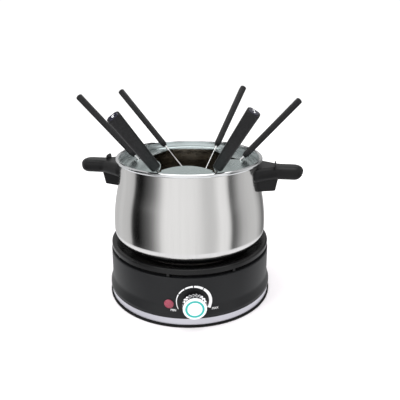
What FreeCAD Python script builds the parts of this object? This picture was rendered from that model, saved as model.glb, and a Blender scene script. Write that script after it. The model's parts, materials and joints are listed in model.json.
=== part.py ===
"""Electric fondue set: a round heating base, a bellied steel pot and a fork guard with six forks.

Millimetres, +Z up.  The origin is the centre of the base's foot ring on the table.  The
control knob looks along -Y.  The pot, the guard and the forks are built about the same Z
axis, turned by their own named angles.
"""
import FreeCAD, Part
import math
import os
from FreeCAD import Vector

# ---------------------------------------------------------------- driving dimensions
# base
foot_r = 100.0
foot_inner_r = 90.0
foot_h = 2.5
wall_foot_r = 99.4
wall_r = 96.5
wall_top_r = 96.0
wall_t = 2.6
wall_flare_z = 15.0
wall_flare_h = 9.5
housing_top_z = 58.2
top_flange_t = 2.5
top_flange_inner_r = 79.0
skirt_r = 97.3
skirt_t = 2.5
band_t = 0.9
band_top_z = 10.9
seat_gap = 0.1
plate_t = 2.4
vent_gap = 3.8
neck_r = 91.0
neck_t = 3.0
collar_r = 95.3
collar_lip_h = 5.8
collar_round = 1.6
collar_crest_w = 2.6
dish_r = 76.0
dish_drop = 6.8
dish_t = 2.5
dish_lip_w = 5.0
spacer_count = 8
spacer_turn = -107.0
spacer_w = 3.0
spacer_set_in = 1.2
cup_w = 2.2
cup_rise = 1.2
cup_sink = 0.3
slot_count = 12
slot_in_r = 18.0
slot_out_r = 52.0
slot_half_w = 2.0
slot_round = 1.9
overrun = 9.0

# hot plate and what hangs under it
hot_gap = 0.4
hot_t = 4.0
hot_clearance = 3.0
element_r = 48.0
element_rod_r = 3.2
element_open_deg = 34.0
element_leg_h = 9.0
shield_t = 0.8
shield_depth = 18.0
shield_flange_w = 6.0
shield_wall_gap = 1.5
post_count = 3
post_r = 3.0
post_ring_r = 30.0
post_hole_gap = 0.15
post_sink = 1.2
post_tail = 4.0
post_nut_r = 3.2
post_nut_h = 2.4
post_nut_gap = 0.05
stub_w = 2.0
stub_h = 6.0
stub_bore = 7.5
ridge_w = 2.5
tab_r = 1.2
tab_length = 5.0
leg_hole_gap = 1.0

# screws
screw_r = 1.5
screw_head_r = 3.0
screw_head_h = 1.8
screw_slot_half = 0.4
screw_slot_d = 0.35
screw_gap = 0.15
base_screw_count = 4
base_screw_turn = 45.0
base_screw_ring_r = 84.5
base_boss_r = 4.0
base_pilot_h = 16.0
base_web_t = 1.8
collar_screw_ring_r = 83.5
collar_boss_r = 3.6

# control knob, thermostat and lamp
knob_z = 30.3
knob_r = 13.0
knob_gap = 3.1
knob_depth = 9.5
knob_wall = 2.0
knob_web = 2.6
cap_r = 12.6
cap_t = 1.5
cap_round = 0.7
ring_outer_r = 10.1
ring_inner_r = 7.9
ring_t = 0.7
ring_proud = 0.15
shaft_r = 3.0
shaft_gap = 0.05
shaft_room = 0.3
shaft_grip = 5.5
bush_r = 4.6
bush_hole_gap = 0.15
nut_across = 13.0
nut_h = 2.4
nut_seat_share = 0.62
nut_thread_gap = 0.05
nut_back_gap = 0.15
stat_round = 1.2
stat_ear = 3.0
stat_w = 26.0
stat_h = 20.0
stat_depth = 14.0
stat_wall_gap = 1.6
stat_plate_t = 1.2
blade_w = 6.0
blade_t = 0.6
blade_length = 20.0
blade_half_gap = 4.0
shaft_flat = 0.9
shaft_back_gap = 1.0
knob_round = 0.8
hub_w = 2.4
hub_back = 1.5
hub_lap = 0.5
lamp_turn = -106.3
lamp_z = 27.0
lamp_r = 4.6
lamp_flange_r = 5.3
lamp_flange_t = 0.9
lamp_dome_h = 1.6
lamp_body = 12.0
lamp_wall = 1.0
lamp_sink = 0.2
lamp_shoulder = 0.35
lamp_mid_rise = 0.9
lamp_mid_share = 0.75
bulb_r = 2.6
bulb_length = 13.0
fit_gap = 0.15

# power inlet at the back
inlet_w = 30.0
inlet_h = 20.0
inlet_depth = 18.0
inlet_wall = 2.5
inlet_floor = 3.0
inlet_flange = 2.4
inlet_flange_t = 1.6
inlet_z = 30.0
pin_r = 2.2
pin_spread = 13.0
pin_out = 11.0
pin_tail = 6.0
pin_point = 0.6
pin_press_gap = 0.02
inlet_round = 3.0
inlet_seat_in = 3.0
lead_r = 1.2
lead_out = 10.0
lead_lift = 6.0
lead_side = 8.0
lead_mid_y = 35.0
lead_drop = 7.0
lead_front = 12.0

# pot
pot_turn = -12.0
pot_wall = 0.8
pot_disc_r = 64.0
pot_disc_t = 3.0
pot_corner_r = 18.0
pot_belly_r = 90.8
pot_neck_r = 82.0
pot_inflection_h = 67.0
pot_neck_drop = 8.7
pot_height = 105.7
bead_r = 2.1
seat_drop = 8.9
seat_w = 1.0
seat_band = 2.5

# pot handles
grip_reach = 132.0
grip_half_w = 12.0
grip_drop = 8.7
grip_t = 15.0
grip_flare_half = 28.0
grip_flare_r = 104.0
grip_flare_root = 10.0
grip_flare_round = 9.0
grip_waist_round = 14.0
grip_plan_round = 11.5
grip_top_round = 6.5
grip_low_round = 6.0
grip_end_round = 12.0
handle_root = 12.0
block_h = 13.0
block_half_w = 22.5
block_outer_half = 11.0
block_outer_r = 105.0
block_foot_r = 101.5
block_draft = 2.5
block_round = 4.0
block_lap = 7.5
rib_r = 99.3
rib_t = 1.5
rib_near = 13.2
rib_far = 2.5
rib_h = 4.5
rib_drop = 8.0
rib_root = 2.5
rib_round = 4.5
rib_corner = 3.0
bracket_rise = 1.0
bracket_pocket_gap = 0.4
bracket_reach = 8.0
screw_well_depth = 20.0
screw_well_gap = 0.4
screw_seat_depth = 5.5
wall_hug_gap = 0.1
bracket_w = 22.0
bracket_h = 14.0
bracket_t = 1.2
stud_r = 3.6
stud_length = 8.0
handle_screw_length = 9.0

# fork guard
guard_turn = -5.4
guard_t = 0.8
guard_slope_deg = 9.1
guard_flange_w = 5.0
guard_groove_w = 2.4
guard_groove_d = 1.0
guard_rest_gap = 0.3
guard_side_gap = 0.5
notch_ring_r = 60.0
notch_r = 3.0
lobe_tip_r = 40.5

# forks, in order round the guard from its first notch: tilt above the horizontal, lean
# away from the radial direction, and roll of the flat handle about the fork's own axis
fork_angles = [(39.0, 27.5, -31.0), (44.0, -1.0, -52.0), (42.0, 28.0, 36.0),
               (43.0, -18.0, 30.0), (43.0, 6.0, 54.0), (46.0, -2.0, -46.0)]
fork_rod_r = 1.1
fork_tip_reach = 128.0
fork_handle_start = 6.0
fork_handle_length = 95.5
fork_width_low = 11.5
fork_width_top = 13.2
fork_thick_low = 7.4
fork_thick_top = 8.0
fork_corner = 2.6
fork_end_taper = 3.0
fork_neck_r = 2.6
fork_tang = 30.0
plug_inset = 1.3
plug_depth = 3.0
plug_proud = 0.8
tine_length = 21.0
tine_w = 1.5
tine_gap = 2.6
tine_t = 1.6
tine_point = 3.2
barb_h = 0.7

# ---------------------------------------------------------------- heights and radii that follow
collar_low_z = housing_top_z + vent_gap
collar_top_z = collar_low_z + collar_lip_h
dish_z = collar_top_z - dish_drop
hot_r = dish_r - dish_lip_w - hot_clearance
pot_z = collar_top_z - 4.8
hot_top_z = pot_z - hot_gap
shell_z = pot_z + pot_disc_t
belly_z = shell_z + pot_corner_r
rim_z = pot_z + pot_height
neck_z = rim_z - pot_neck_drop
inflection_z = pot_z + pot_inflection_h
seat_z = rim_z - seat_drop
grip_top_z = rim_z - grip_drop
grip_low_z = grip_top_z - grip_t
plate_z = foot_h
guard_r = pot_neck_r - pot_wall - guard_side_gap
guard_z = seat_z + guard_rest_gap
guard_cone_r = guard_r - guard_flange_w - guard_groove_w
UP = Vector(0, 0, 1)
ORIGIN = Vector(0, 0, 0)

os.makedirs("parts", exist_ok=True)


# ---------------------------------------------------------------- helpers
def save(name, *solids):
    """Write one node; several separate solids become one group."""
    shape = solids[0] if len(solids) == 1 else Part.makeCompound(list(solids))
    shape.exportStep(os.path.join("parts", name + ".step"))


def rounded_wire(corners):
    """Closed wire through corners (point, radius); each radius above 0 is a tangent arc."""
    edges, ends = [], []
    count = len(corners)
    for i, (p, radius) in enumerate(corners):
        before, after = corners[i - 1][0], corners[(i + 1) % count][0]
        a, b = (before - p).normalize(), (after - p).normalize()
        if radius > 0:
            half = a.getAngle(b) / 2.0
            run = radius / math.tan(half)
            middle = (a + b).normalize()
            arc_mid = p + middle * (radius / math.sin(half) - radius)
            ends.append((p + a * run, arc_mid, p + b * run))
        else:
            ends.append((p, None, p))
    for i, (start, mid, end) in enumerate(ends):
        if mid is not None:
            edges.append(Part.Arc(start, mid, end).toShape())
        following = ends[(i + 1) % count][0]
        if (following - end).Length > 1e-6:
            edges.append(Part.LineSegment(end, following).toShape())
    return Part.Wire(edges)


def turned(corners):
    """Revolve a closed outline of (radius, height, corner radius) about the Z axis."""
    wire = rounded_wire([(Vector(r, 0, z), c) for r, z, c in corners])
    return Part.Face(wire).revolve(ORIGIN, UP, 360)


def tube(r_out, r_in, z0, z1):
    """Plain ring between two heights."""
    outer = Part.makeCylinder(r_out, z1 - z0, Vector(0, 0, z0))
    return outer.cut(Part.makeCylinder(r_in, z1 - z0 + 2, Vector(0, 0, z0 - 1)))


def spin(shape, degrees):
    """Copy of a shape turned about the Z axis."""
    copy = shape.copy()
    copy.rotate(ORIGIN, UP, degrees)
    return copy


def box(x0, x1, y0, y1, z0, z1):
    """Box from its six planes."""
    return Part.makeBox(x1 - x0, y1 - y0, z1 - z0, Vector(x0, y0, z0))


def ring_points(count, r, z, first=0.0):
    """Points evenly spaced on a circle about Z."""
    turns = [math.radians(first + 360.0 * i / count) for i in range(count)]
    return [Vector(r * math.cos(a), r * math.sin(a), z) for a in turns]


def radial_rod(r, start_r, end_r, z, degrees):
    """Cylinder that lies along a radius of the base."""
    return spin(Part.makeCylinder(r, end_r - start_r, Vector(start_r, 0, z), Vector(1, 0, 0)), degrees)


def pan_screw(p, length, up=1.0):
    """Pan-head screw: its head's seat is at p and its shank runs up (or down)."""
    head = Part.makeCylinder(screw_head_r, screw_head_h, p, Vector(0, 0, -up))
    crown_z = p.z - up * screw_head_h
    head = head.makeFillet(screw_head_h / 2, [e for e in head.Edges
                                              if abs(e.CenterOfMass.z - crown_z) < 1e-6
                                              and e.Curve.TypeId == "Part::GeomCircle"])
    slot = box(p.x - screw_head_r, p.x + screw_head_r, p.y - screw_slot_half, p.y + screw_slot_half,
               crown_z - screw_slot_d, crown_z + screw_slot_d)
    shank = Part.makeCylinder(screw_r, length, p, Vector(0, 0, up))
    return head.cut(slot).fuse(shank).removeSplitter()


def wire_run(points, r):
    """Round lead along straight runs joined by tangent arcs."""
    edges, cursor = [], points[0]
    for before, p, after in zip(points, points[1:], points[2:]):
        a, b = (before - p), (after - p)
        short = min(a.Length, b.Length)
        a.normalize()
        b.normalize()
        half = a.getAngle(b) / 2.0
        run = 0.45 * short
        bend = run * math.tan(half)
        middle = (a + b).normalize()
        arc_mid = p + middle * (bend / math.sin(half) - bend)
        edges.append(Part.LineSegment(cursor, p + a * run).toShape())
        edges.append(Part.Arc(p + a * run, arc_mid, p + b * run).toShape())
        cursor = p + b * run
    edges.append(Part.LineSegment(cursor, points[-1]).toShape())
    path = Part.Wire(edges)
    profile = Part.Wire([Part.makeCircle(r, points[0], points[1] - points[0])])
    return path.makePipeShell([profile], True, True)


# ---------------------------------------------------------------- base shells
def make_foot_ring():
    return turned([(foot_inner_r, 0, 0.4), (foot_r, 0, 0.5), (foot_r, foot_h - seat_gap, 0.7),
                   (foot_inner_r, foot_h - seat_gap, 0.4)])


def make_trim_band():
    inner = skirt_r + seat_gap
    return turned([(inner, foot_h, 0.0), (inner + band_t, foot_h, 0.3),
                   (inner + band_t, band_top_z - seat_gap, 0.3), (inner, band_top_z - seat_gap, 0.0)])


def make_base_plate():
    r = skirt_r - skirt_t - fit_gap
    plate = turned([(0, plate_z, 0), (r, plate_z, 0.5), (r, plate_z + plate_t, 0),
                    (0, plate_z + plate_t, 0)])
    for p in ring_points(base_screw_count, base_screw_ring_r, plate_z, base_screw_turn):
        well = Part.makeCylinder(screw_head_r + 3 * screw_gap, screw_head_h + cup_sink, p)
        cup = Part.makeCylinder(screw_head_r + cup_w, plate_t + cup_rise, p)
        hole = Part.makeCylinder(screw_r + screw_gap, plate_t + overrun, p)
        plate = plate.fuse(cup).cut(well).cut(hole)
    slot = rounded_wire([(Vector(x, y, plate_z - 1), slot_round)
                         for x, y in ((slot_in_r, -slot_half_w), (slot_out_r, -slot_half_w),
                                      (slot_out_r, slot_half_w), (slot_in_r, slot_half_w))])
    slot = Part.Face(slot).extrude(Vector(0, 0, plate_t + 2))
    for i in range(slot_count):
        plate = plate.cut(spin(slot, 360.0 * (i + 0.5) / slot_count))
    return plate.removeSplitter()


def make_housing():
    inner = skirt_r - skirt_t
    shell = turned([
        (skirt_r, foot_h + seat_gap, 0.0), (skirt_r, band_top_z, 0.0), (wall_foot_r, band_top_z, 0.5),
        (wall_foot_r, wall_flare_z, 4.0), (wall_r, wall_flare_z + wall_flare_h, 14.0),
        (wall_top_r, housing_top_z, 1.2), (top_flange_inner_r, housing_top_z, 0.0),
        (top_flange_inner_r, housing_top_z - top_flange_t, 0.0),
        (wall_top_r - wall_t, housing_top_z - top_flange_t, 1.5),
        (wall_r - wall_t, wall_flare_z + wall_flare_h, 8.0), (inner, wall_flare_z - 1.0, 3.0),
        (inner, foot_h + seat_gap, 0.0)])
    cup_top = plate_z + plate_t + cup_rise + seat_gap
    for p in ring_points(base_screw_count, base_screw_ring_r, cup_top, base_screw_turn):
        boss = Part.makeCylinder(base_boss_r, housing_top_z - top_flange_t - cup_top, p)
        web = box(base_screw_ring_r, wall_top_r - wall_t / 2, -base_web_t / 2, base_web_t / 2,
                  cup_top + base_web_t, housing_top_z - top_flange_t / 2)
        web = spin(web, math.degrees(math.atan2(p.y, p.x)))
        web = web.common(Part.makeCylinder(wall_top_r - wall_t / 2, housing_top_z))
        pilot = Part.makeCylinder(screw_r + screw_gap, base_pilot_h, p)
        shell = shell.fuse(boss).fuse(web).cut(pilot)
    shell = shell.cut(radial_rod(bush_r + bush_hole_gap, wall_r - overrun, wall_r + overrun, knob_z, -90.0))
    shell = shell.cut(radial_rod(nut_across * nut_seat_share, wall_r, wall_r + overrun, knob_z, -90.0))
    shell = shell.cut(radial_rod(lamp_r + fit_gap, wall_r - overrun, wall_r + overrun, lamp_z, lamp_turn))
    shell = shell.cut(radial_rod(lamp_flange_r + fit_gap, wall_r, wall_r + overrun, lamp_z, lamp_turn))
    half_w, half_h = inlet_w / 2 + fit_gap, inlet_h / 2 + fit_gap
    near, far = wall_r - overrun - wall_t, wall_r + overrun
    shell = shell.cut(box(-half_w, half_w, near, far, inlet_z - half_h, inlet_z + half_h))
    half_w, half_h = half_w + inlet_flange, half_h + inlet_flange
    seat = box(-half_w, half_w, near, far, inlet_z - half_h, inlet_z + half_h)
    shell = shell.cut(seat.cut(Part.makeCylinder(wall_r, housing_top_z)))
    for p in ring_points(spacer_count, collar_screw_ring_r, housing_top_z - overrun, collar_screw_first):
        shell = shell.cut(Part.makeCylinder(screw_r + screw_gap, overrun + 3, p))
    return shell.removeSplitter()


def make_collar():
    low = housing_top_z + seat_gap
    under = dish_z - dish_t
    top_in = collar_r - collar_round - collar_crest_w
    inner_neck = neck_r - neck_t
    rise = (collar_top_z - dish_z) / (top_in - dish_r)
    shelf_z = dish_z + (inner_neck - dish_r) * rise - dish_t
    collar = turned([
        (dish_r - dish_lip_w, dish_z, 0.6), (dish_r, dish_z, 2.0), (top_in, collar_top_z, 1.2),
        (collar_r, collar_top_z, collar_round), (collar_r, collar_low_z, 0.6), (neck_r, collar_low_z, 0.0),
        (neck_r, low, 0.0), (inner_neck, low, 0.0), (inner_neck, shelf_z, 0.0), (dish_r, under, 0.0),
        (dish_r - dish_lip_w, under, 0.4)])
    rib = box(neck_r - 1, collar_r - spacer_set_in, -spacer_w / 2, spacer_w / 2, low, collar_low_z + 1)
    for i in range(spacer_count):
        collar = collar.fuse(spin(rib, spacer_turn + 360.0 * i / spacer_count))
    for p in ring_points(spacer_count, collar_screw_ring_r, low, collar_screw_first):
        boss_top = dish_z + (collar_screw_ring_r - dish_r) * rise - dish_t / 2
        boss = Part.makeCylinder(collar_boss_r, boss_top - low, p)
        collar = collar.fuse(boss).cut(Part.makeCylinder(screw_r + screw_gap, boss_top - low - 0.8, p))
    return collar.removeSplitter()


# ---------------------------------------------------------------- heating parts
def make_hot_plate():
    low = hot_top_z - hot_t
    plate = turned([(0, low, 0), (hot_r, low, 0.8), (hot_r, hot_top_z, 0.8), (0, hot_top_z, 0)])
    ridge = tube(element_r + element_rod_r + ridge_w, element_r - element_rod_r - ridge_w,
                 low - element_rod_r, low)
    plate = plate.fuse(ridge)
    groove = Part.makeTorus(element_r, element_rod_r + fit_gap, Vector(0, 0, low - element_rod_r))
    plate = plate.cut(groove)
    for p in ring_points(post_count, post_ring_r, low - stub_h, 90.0):
        stub = Part.makeCylinder(post_r + stub_w, stub_h, p)
        plate = plate.fuse(stub).cut(Part.makeCylinder(post_r + post_hole_gap, stub_bore, p))
    return plate.removeSplitter()


def element_height():
    return hot_top_z - hot_t - element_rod_r


def make_element():
    z = element_height()
    half_open = math.radians(element_open_deg / 2)
    solids = []
    ring = Part.makeTorus(element_r, element_rod_r, Vector(0, 0, z), UP, -180, 180, 360 - element_open_deg)
    ring.rotate(ORIGIN, UP, 90 + element_open_deg / 2)
    ring = Part.Solid(ring) if ring.ShapeType == "Shell" else ring
    solids.append(ring)
    for side in (-1, 1):
        end = Vector(side * element_r * math.sin(half_open), element_r * math.cos(half_open), z)
        solids.append(Part.makeSphere(element_rod_r, end))
        solids.append(Part.makeCylinder(element_rod_r, element_leg_h, end, Vector(0, 0, -1)))
        tab = Part.makeCylinder(tab_r, tab_length, end - Vector(0, 0, element_leg_h), Vector(0, 0, -1))
        solids.append(tab)
    shape = solids[0].multiFuse(solids[1:])
    return shape.removeSplitter()


def make_shield():
    top = dish_z - dish_t - seat_gap
    outer = hot_r + shield_wall_gap
    low = top - shield_depth
    pan = turned([
        (0, low, 0), (outer, low, 4.0), (outer, top - shield_t, 0.6),
        (outer + shield_flange_w, top - shield_t, 0.0), (outer + shield_flange_w, top, 0.0),
        (outer - shield_t, top, 1.0), (outer - shield_t, low + shield_t, 3.2), (0, low + shield_t, 0)])
    for p in ring_points(post_count, post_ring_r, low - 1, 90.0):
        pan = pan.cut(Part.makeCylinder(screw_r + screw_gap, 4, p))
    half_open = math.radians(element_open_deg / 2)
    for side in (-1, 1):
        leg = Vector(side * element_r * math.sin(half_open), element_r * math.cos(half_open), low - 1)
        pan = pan.cut(Part.makeCylinder(element_rod_r + leg_hole_gap, 4, leg))
    return pan


def shield_floor():
    return dish_z - dish_t - seat_gap - shield_depth


def make_posts():
    """Threaded pillars that carry the plate on the shield, each with its nut below."""
    posts = []
    low = shield_floor() + shield_t
    top = hot_top_z - hot_t + post_sink
    for p in ring_points(post_count, post_ring_r, low, 90.0):
        pillar = Part.makeCylinder(post_r, top - low, p)
        tail = shield_t + post_tail
        stub = Part.makeCylinder(screw_r, tail, p - Vector(0, 0, tail))
        posts.append(pillar.fuse(stub).removeSplitter())
    return posts


def make_post_nuts():
    nuts = []
    for p in ring_points(post_count, post_ring_r, shield_floor() - post_nut_h - seat_gap, 90.0):
        corners = [p + spot for spot in ring_points(6, post_nut_r, 0.0)]
        hexagon = Part.Face(Part.makePolygon(corners + corners[:1])).extrude(Vector(0, 0, post_nut_h))
        thread = Part.makeCylinder(screw_r + post_nut_gap, post_nut_h + 2, p - Vector(0, 0, 1))
        nuts.append(hexagon.cut(thread))
    return nuts


# ---------------------------------------------------------------- thermostat, knob, lamp, inlet
def along_front(r, y_near, y_far):
    """Cylinder on the knob's axis between two distances from the Z axis."""
    return Part.makeCylinder(r, y_far - y_near, Vector(0, -y_near, knob_z), Vector(0, -1, 0))


def make_thermostat():
    back = stat_back()
    front = -back + stat_plate_t + seat_gap
    block = box(-stat_w / 2, stat_w / 2, front, front + stat_depth, knob_z - stat_h / 2, knob_z + stat_h / 2)
    block = block.makeFillet(stat_round, [e for e in block.Edges
                                          if abs(e.tangentAt(e.FirstParameter).y) > 0.9])
    return block.cut(along_front(shaft_r + shaft_room, back - overrun, back + overrun))


def stat_back():
    """Distance from the Z axis to the thermostat's front plate."""
    return wall_r - wall_t - stat_wall_gap


def stat_rear():
    """Distance from the Z axis to the thermostat block's inner face."""
    return stat_back() - stat_plate_t - seat_gap - stat_depth


def make_stat_plate():
    near = stat_back() - stat_plate_t
    plate = box(-stat_w / 2 - stat_ear, stat_w / 2 + stat_ear, -near - stat_plate_t, -near,
                knob_z - stat_h / 2, knob_z + stat_h / 2)
    bush = along_front(bush_r, near + stat_plate_t, wall_r + 1.0 + nut_h)
    bore = along_front(shaft_r + shaft_gap, near - 1, wall_r + overrun)
    return plate.fuse(bush).cut(bore).removeSplitter()


def make_stat_nut():
    start = wall_r + nut_back_gap
    corners = [Vector(nut_across / 2 / math.cos(math.radians(30)) * math.cos(math.radians(60 * i)), 0,
                      nut_across / 2 / math.cos(math.radians(30)) * math.sin(math.radians(60 * i)))
               for i in range(6)]
    corners = [c + Vector(0, -start, knob_z) for c in corners]
    nut = Part.Face(Part.makePolygon(corners + corners[:1])).extrude(Vector(0, -nut_h, 0))
    return nut.cut(along_front(bush_r + nut_thread_gap, wall_r - overrun, wall_r + overrun))


def make_stat_blades():
    """Two contact springs behind the thermostat block."""
    back = stat_rear() - seat_gap
    blades = []
    for z in (knob_z - blade_half_gap, knob_z + blade_half_gap):
        blades.append(box(-blade_w / 2, blade_w / 2, -back, -back + blade_length, z, z + blade_t))
    return blades


def make_shaft():
    near = stat_back() - stat_plate_t * 2 - shaft_back_gap
    far = wall_r + knob_gap + knob_depth - knob_web
    shaft = along_front(shaft_r, near, far)
    flat = box(-shaft_r, shaft_r, -far - 1, -far + shaft_grip,
               knob_z + shaft_r - shaft_flat, knob_z + shaft_r + 1)
    return shaft.cut(flat)


def make_knob_body():
    near = wall_r + knob_gap
    far = near + knob_depth
    body = along_front(knob_r, near, far)
    body = body.makeFillet(knob_round, [e for e in body.Edges if abs(e.CenterOfMass.y + far) < 1e-6
                                 and e.Curve.TypeId == "Part::GeomCircle"])
    hollow = along_front(knob_r - knob_wall, near - 1, far - knob_web)
    hub = along_front(shaft_r + hub_w, far - knob_web - shaft_grip + hub_back, far - knob_web + hub_lap)
    shaft_hole = along_front(shaft_r, near - 1, far - knob_web)
    flat = box(-shaft_r, shaft_r, -far - 1, -near + 1, knob_z + shaft_r - shaft_flat, knob_z + shaft_r + 1)
    shaft_hole = shaft_hole.cut(flat)
    return body.cut(hollow).fuse(hub).cut(shaft_hole).removeSplitter()


def make_knob_cap():
    near = wall_r + knob_gap + knob_depth
    cap = along_front(cap_r, near, near + cap_t)
    cap = cap.makeFillet(cap_round, [e for e in cap.Edges if abs(e.CenterOfMass.y + near + cap_t) < 1e-6
                                     and e.Curve.TypeId == "Part::GeomCircle"])
    seat = along_front(ring_outer_r, near + cap_t - ring_t + ring_proud, near + cap_t + 1)
    seat = seat.cut(along_front(ring_inner_r, near, near + cap_t + 2))
    return cap.cut(seat)


def make_knob_ring():
    near = wall_r + knob_gap + knob_depth + cap_t - ring_t + ring_proud
    ring = along_front(ring_outer_r, near, near + ring_t)
    return ring.cut(along_front(ring_inner_r, near - 1, near + ring_t + 1))


def make_lamp_lens():
    outside = wall_r - lamp_sink
    face = outside + lamp_flange_t
    corners = [(0, face + lamp_dome_h), (lamp_r * lamp_mid_share, face + lamp_mid_rise),
               (lamp_flange_r, face), (lamp_flange_r, outside + lamp_shoulder)]
    top = [Vector(r, 0, z) for r, z in corners]
    dome = Part.Arc(top[0], top[1], top[2]).toShape()
    inner_r = lamp_r - lamp_wall
    low = outside - lamp_body
    rest = Part.makePolygon([top[2], top[3], Vector(lamp_r, 0, outside + lamp_shoulder),
                             Vector(lamp_r, 0, low), Vector(inner_r, 0, low),
                             Vector(inner_r, 0, outside), Vector(0, 0, outside), top[0]])
    lens = Part.Face(Part.Wire([dome] + rest.Edges)).revolve(ORIGIN, UP, 360)
    lens.rotate(ORIGIN, Vector(0, 1, 0), 90)
    lens.translate(Vector(0, 0, lamp_z))
    return spin(lens, lamp_turn)


def make_lamp_bulb():
    end = wall_r - lamp_sink - lamp_wall
    return radial_rod(bulb_r, end - bulb_length, end, lamp_z, lamp_turn)


def inlet_face():
    """Distance from the Z axis to the inlet's outer face."""
    return wall_r + inlet_flange_t


def make_inlet():
    face = inlet_face()
    body = box(-inlet_w / 2, inlet_w / 2, face - inlet_depth, face,
               inlet_z - inlet_h / 2, inlet_z + inlet_h / 2)
    flange = box(-inlet_w / 2 - inlet_flange, inlet_w / 2 + inlet_flange, wall_r - inlet_seat_in, face,
                 inlet_z - inlet_h / 2 - inlet_flange, inlet_z + inlet_h / 2 + inlet_flange)
    flange = flange.cut(Part.makeCylinder(wall_r + fit_gap, housing_top_z))
    body = body.fuse(flange)
    half_w, half_h = inlet_w / 2 - inlet_wall, inlet_h / 2 - inlet_wall
    cavity = box(-half_w, half_w, face - inlet_depth + inlet_floor, face + 1,
                 inlet_z - half_h, inlet_z + half_h)
    cavity = cavity.makeFillet(inlet_round, [e for e in cavity.Edges
                                             if abs(e.tangentAt(e.FirstParameter).y) > 0.9])
    body = body.cut(cavity)
    for x in (-pin_spread / 2, pin_spread / 2):
        start = Vector(x, face - inlet_depth - 1, inlet_z)
        hole = Part.makeCylinder(pin_r + pin_press_gap, inlet_depth, start, Vector(0, 1, 0))
        body = body.cut(hole)
    return body.removeSplitter()


def make_inlet_pins():
    start = inlet_face() - inlet_depth - pin_tail
    pins = []
    for x in (-pin_spread / 2, pin_spread / 2):
        length = pin_tail + inlet_floor + pin_out
        pin = Part.makeCylinder(pin_r, length, Vector(x, start, inlet_z), Vector(0, 1, 0))
        tip = [e for e in pin.Edges if abs(e.CenterOfMass.y - start - length) < 1e-6
               and e.Curve.TypeId == "Part::GeomCircle"]
        pin = pin.makeFillet(pin_r * pin_point, tip)
        pins.append(pin)
    return pins


def make_leads():
    """Lead from one inlet pin to the element's near leg, and one out to the thermostat."""
    half_open = math.radians(element_open_deg / 2)
    leg_x = element_r * math.sin(half_open)
    leg_y = element_r * math.cos(half_open)
    leg_z = element_height() - element_leg_h - tab_length
    pin_y = inlet_face() - inlet_depth - pin_tail
    runs = []
    x = pin_spread / 2
    runs.append([Vector(x, pin_y, inlet_z), Vector(x, pin_y - lead_out, inlet_z),
                 Vector(leg_x, leg_y, inlet_z - lead_lift), Vector(leg_x, leg_y, leg_z)])
    low_z = plate_z + plate_t + lead_lift
    end_z = knob_z - lead_drop
    runs.append([Vector(-x, pin_y, inlet_z), Vector(-x, pin_y - lead_out, inlet_z),
                 Vector(-x - lead_side, lead_mid_y, low_z), Vector(-x - lead_side, -lead_mid_y, low_z),
                 Vector(-x, -stat_rear() + lead_front, end_z),
                 Vector(-x, -stat_rear() + seat_gap, end_z)])
    return [wire_run(points, lead_r) for points in runs]


# ---------------------------------------------------------------- pot
def pot_solid(inset, top):
    """Solid of revolution inside the pot's outer skin, moved in by inset."""
    rise, drop = neck_z - belly_z, pot_belly_r - pot_neck_r
    sweep = 2 * math.atan(drop / rise)
    low_r = (inflection_z - belly_z) / math.sin(sweep)
    high_r = (neck_z - inflection_z) / math.sin(sweep)
    flat_r = pot_belly_r - pot_corner_r

    def on_low(a):
        r = low_r - inset
        return Vector(pot_belly_r - low_r + r * math.cos(a), 0, belly_z + r * math.sin(a))

    def on_high(a):
        r = high_r + inset
        return Vector(pot_neck_r + high_r - r * math.cos(a), 0, neck_z - r * math.sin(a))

    corner_r = pot_corner_r - inset
    a45 = math.radians(45)
    corner_mid = Vector(flat_r + corner_r * math.cos(a45), 0, belly_z - corner_r * math.sin(a45))
    floor = Vector(flat_r, 0, belly_z - corner_r)
    belly = Vector(flat_r + corner_r, 0, belly_z)
    edges = [
        Part.LineSegment(Vector(0, 0, floor.z), floor).toShape(),
        Part.Arc(floor, corner_mid, belly).toShape(),
        Part.Arc(belly, on_low(sweep / 2), on_low(sweep)).toShape(),
        Part.Arc(on_low(sweep), on_high(sweep / 2), on_high(0)).toShape(),
        Part.LineSegment(on_high(0), Vector(pot_neck_r - inset, 0, top)).toShape(),
        Part.LineSegment(Vector(pot_neck_r - inset, 0, top), Vector(0, 0, top)).toShape(),
        Part.LineSegment(Vector(0, 0, top), Vector(0, 0, floor.z)).toShape()]
    return Part.Face(Part.Wire(edges)).revolve(ORIGIN, UP, 360)


def make_pot():
    bead_z = rim_z - bead_r
    outer = pot_solid(0.0, bead_z)
    inner = pot_solid(pot_wall, bead_z + 2 * bead_r)
    bead = Part.makeTorus(pot_neck_r - pot_wall + bead_r, bead_r, Vector(0, 0, bead_z))
    in_r = pot_neck_r - pot_wall
    seat = turned([(in_r + 0.3, seat_z - seat_band - 3 * seat_w, 0), (in_r + 0.3, seat_z, 0),
                   (in_r - seat_w, seat_z, 0.3), (in_r - seat_w, seat_z - seat_band, 0)])
    pot = outer.cut(inner)
    return pot.fuse(bead).fuse(seat).removeSplitter()


def make_pot_disc():
    return turned([(0, pot_z, 0), (pot_disc_r, pot_z, 1.2), (pot_disc_r, shell_z, 0.0), (0, shell_z, 0)])


def grip_plan():
    """Flat outline of the grip: wide where it hugs the pot, narrow and round further out."""
    root, flare = pot_neck_r - handle_root, pot_neck_r - handle_root + grip_flare_root
    z = grip_low_z
    half = [(root, grip_flare_half, 0.0), (flare, grip_flare_half, grip_flare_round),
            (grip_flare_r, grip_half_w, grip_waist_round), (grip_reach, grip_half_w, grip_plan_round)]
    corners = [(Vector(x, -y, z), c) for x, y, c in half]
    corners += [(Vector(x, y, z), c) for x, y, c in reversed(half)]
    return Part.Face(rounded_wire(corners))


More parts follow.
